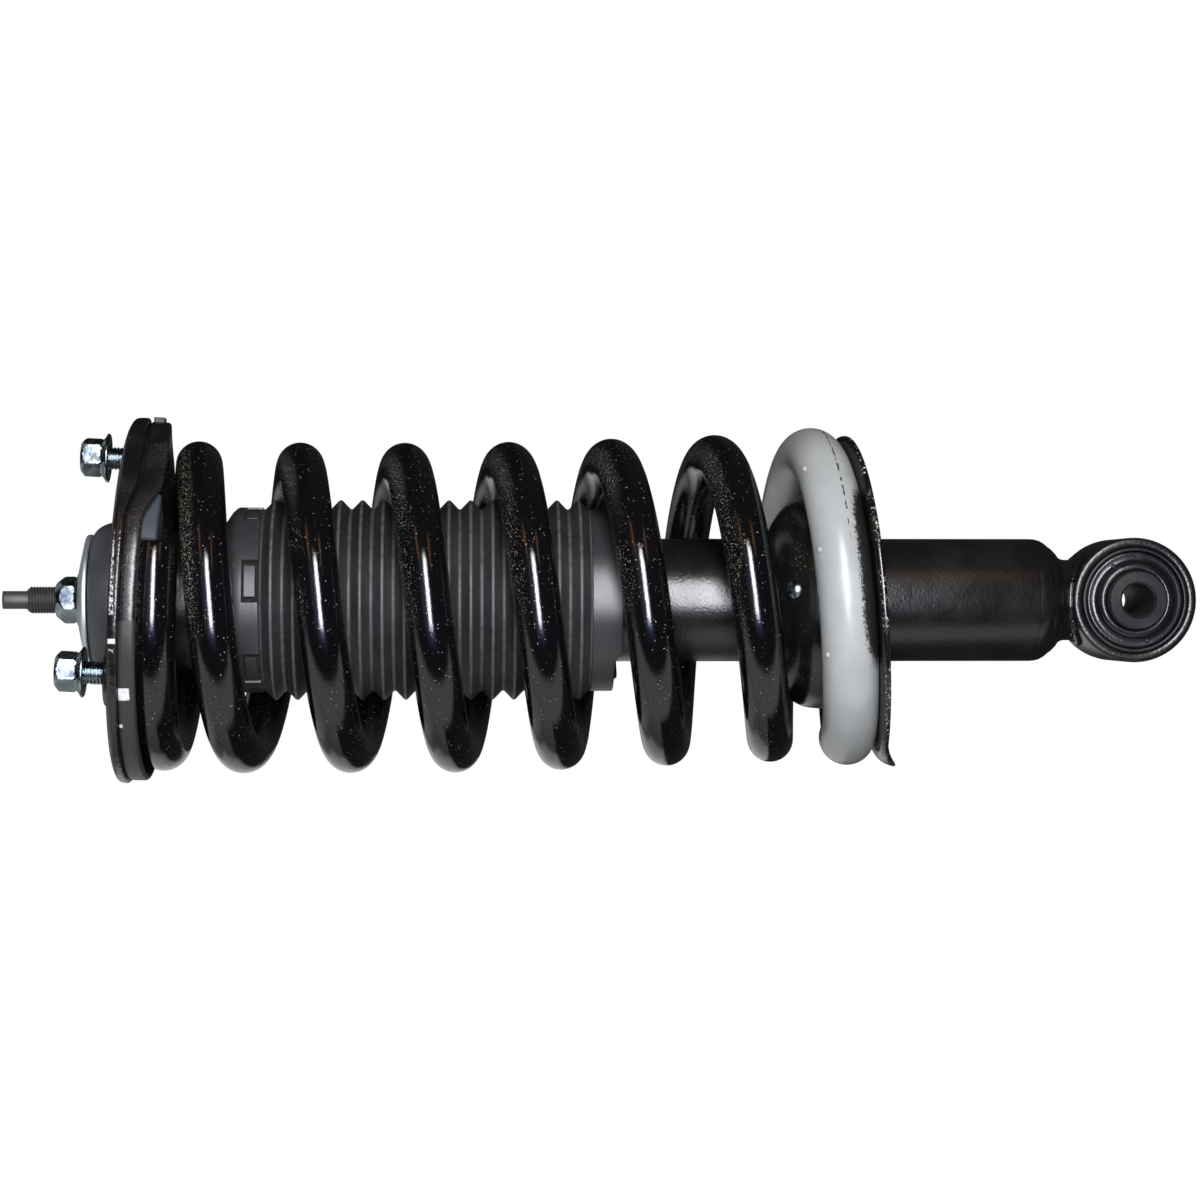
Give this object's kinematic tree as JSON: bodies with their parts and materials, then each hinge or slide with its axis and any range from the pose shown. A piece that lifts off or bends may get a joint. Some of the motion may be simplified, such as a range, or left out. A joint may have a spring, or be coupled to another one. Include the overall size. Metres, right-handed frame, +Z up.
{
  "type": "coil-over suspension strut assembly",
  "caption": "Vehicle suspension strut: damper tube with a lower bush eye, sliding rod, coil spring between two seats, dust boot and a studded top mount.",
  "frame": {"origin": "centre of the lower bolt bore, on the strut's axis", "axes": "+Z up along the strut's axis towards the top mount, +Y along the lower bolt, +X across, towards the stud that stands opposite the gap of the other two"},
  "size_m": [0.1598, 0.1596, 0.52],
  "materials": {
    "black_paint": "satin black paint, slightly rough",
    "mount_paint": "semi-gloss black paint",
    "spring_enamel": "glossy black enamel",
    "sleeve_grey": "smooth light grey plastic tube",
    "bush_steel": "dark machined steel",
    "bare_steel": "plain machined steel",
    "bronze": "sintered bronze",
    "rod_chrome": "hard chrome",
    "zinc": "bright zinc plating",
    "bush_rubber": "moulded black rubber",
    "cushion_rubber": "satin moulded rubber",
    "seal_rubber": "black rubber",
    "insulator_rubber": "matt dusty black rubber",
    "bump_foam": "closed-cell foam",
    "boot_plastic": "matt black moulded plastic"
  },
  "bodies": {
    "lower_bush_sleeve": {"bush_inner_sleeve": "bush_steel"},
    "damper": {"eye_ring": "black_paint", "bush_outer_sleeve": "bush_steel", "bush_rubber": "bush_rubber", "eye_weld": "black_paint", "base_cap": "black_paint", "base_valve_body": "bare_steel", "base_valve_discs": "bronze", "reserve_tube": "black_paint", "pressure_tube": "bare_steel", "rod_guide": "bare_steel", "guide_bushing": "bronze", "oil_seal": "seal_rubber", "striker_cap": "bare_steel", "lower_spring_seat": "black_paint", "seat_weld": "black_paint", "coil_spring": "spring_enamel", "spring_sleeve": "sleeve_grey"},
    "rod": {"piston_rod": "rod_chrome", "rebound_stop": "bare_steel", "piston": "bare_steel", "piston_band": "bronze", "valve_discs": "bronze", "piston_nut": "bare_steel", "lower_washer": "bare_steel", "cushion_spacer": "bare_steel", "lower_cushion": "cushion_rubber", "upper_cushion": "cushion_rubber", "cushion_washer": "zinc", "rod_nut": "zinc", "bump_stop_cup": "bare_steel", "bump_stop": "bump_foam", "boot_collar": "boot_plastic", "boot_bellows": "boot_plastic"},
    "boot_end": {"boot_skirt": "boot_plastic"},
    "top_mount": {"mount_plate": "mount_paint", "mount_studs": "zinc", "stud_nuts": "zinc", "spring_insulator": "insulator_rubber"}
  },
  "joints": [
    {"name": "bush_twist", "type": "hinge", "parent": "lower_bush_sleeve", "child": "damper", "pos_m": [0, 0, 0], "axis": [0, 1, 0], "range_deg": [-15, 15], "stiffness_Nm_per_rad": 150, "deforming": ["bush_rubber"]},
    {"name": "stroke", "type": "slide", "parent": "damper", "child": "rod", "axis": [0, 0, 1], "range_m": [-0.11, 0], "stiffness_N_per_m": 105000, "deforming": ["coil_spring", "spring_sleeve", "boot_bellows", "bump_stop"]},
    {"name": "boot_slide", "type": "slide", "parent": "damper", "child": "boot_end", "axis": [0, 0, 1], "range_m": [-0.0585, 0]},
    {"name": "mount_tilt", "type": "hinge", "parent": "rod", "child": "top_mount", "pos_m": [0, 0, 0.4376], "axis": [0, 1, 0], "range_deg": [-4, 4], "stiffness_Nm_per_rad": 200, "deforming": ["upper_cushion", "lower_cushion"]}
  ],
  "couplings": [
    {"joint": "boot_slide", "follows": "stroke", "ratio": 0.527}
  ]
}
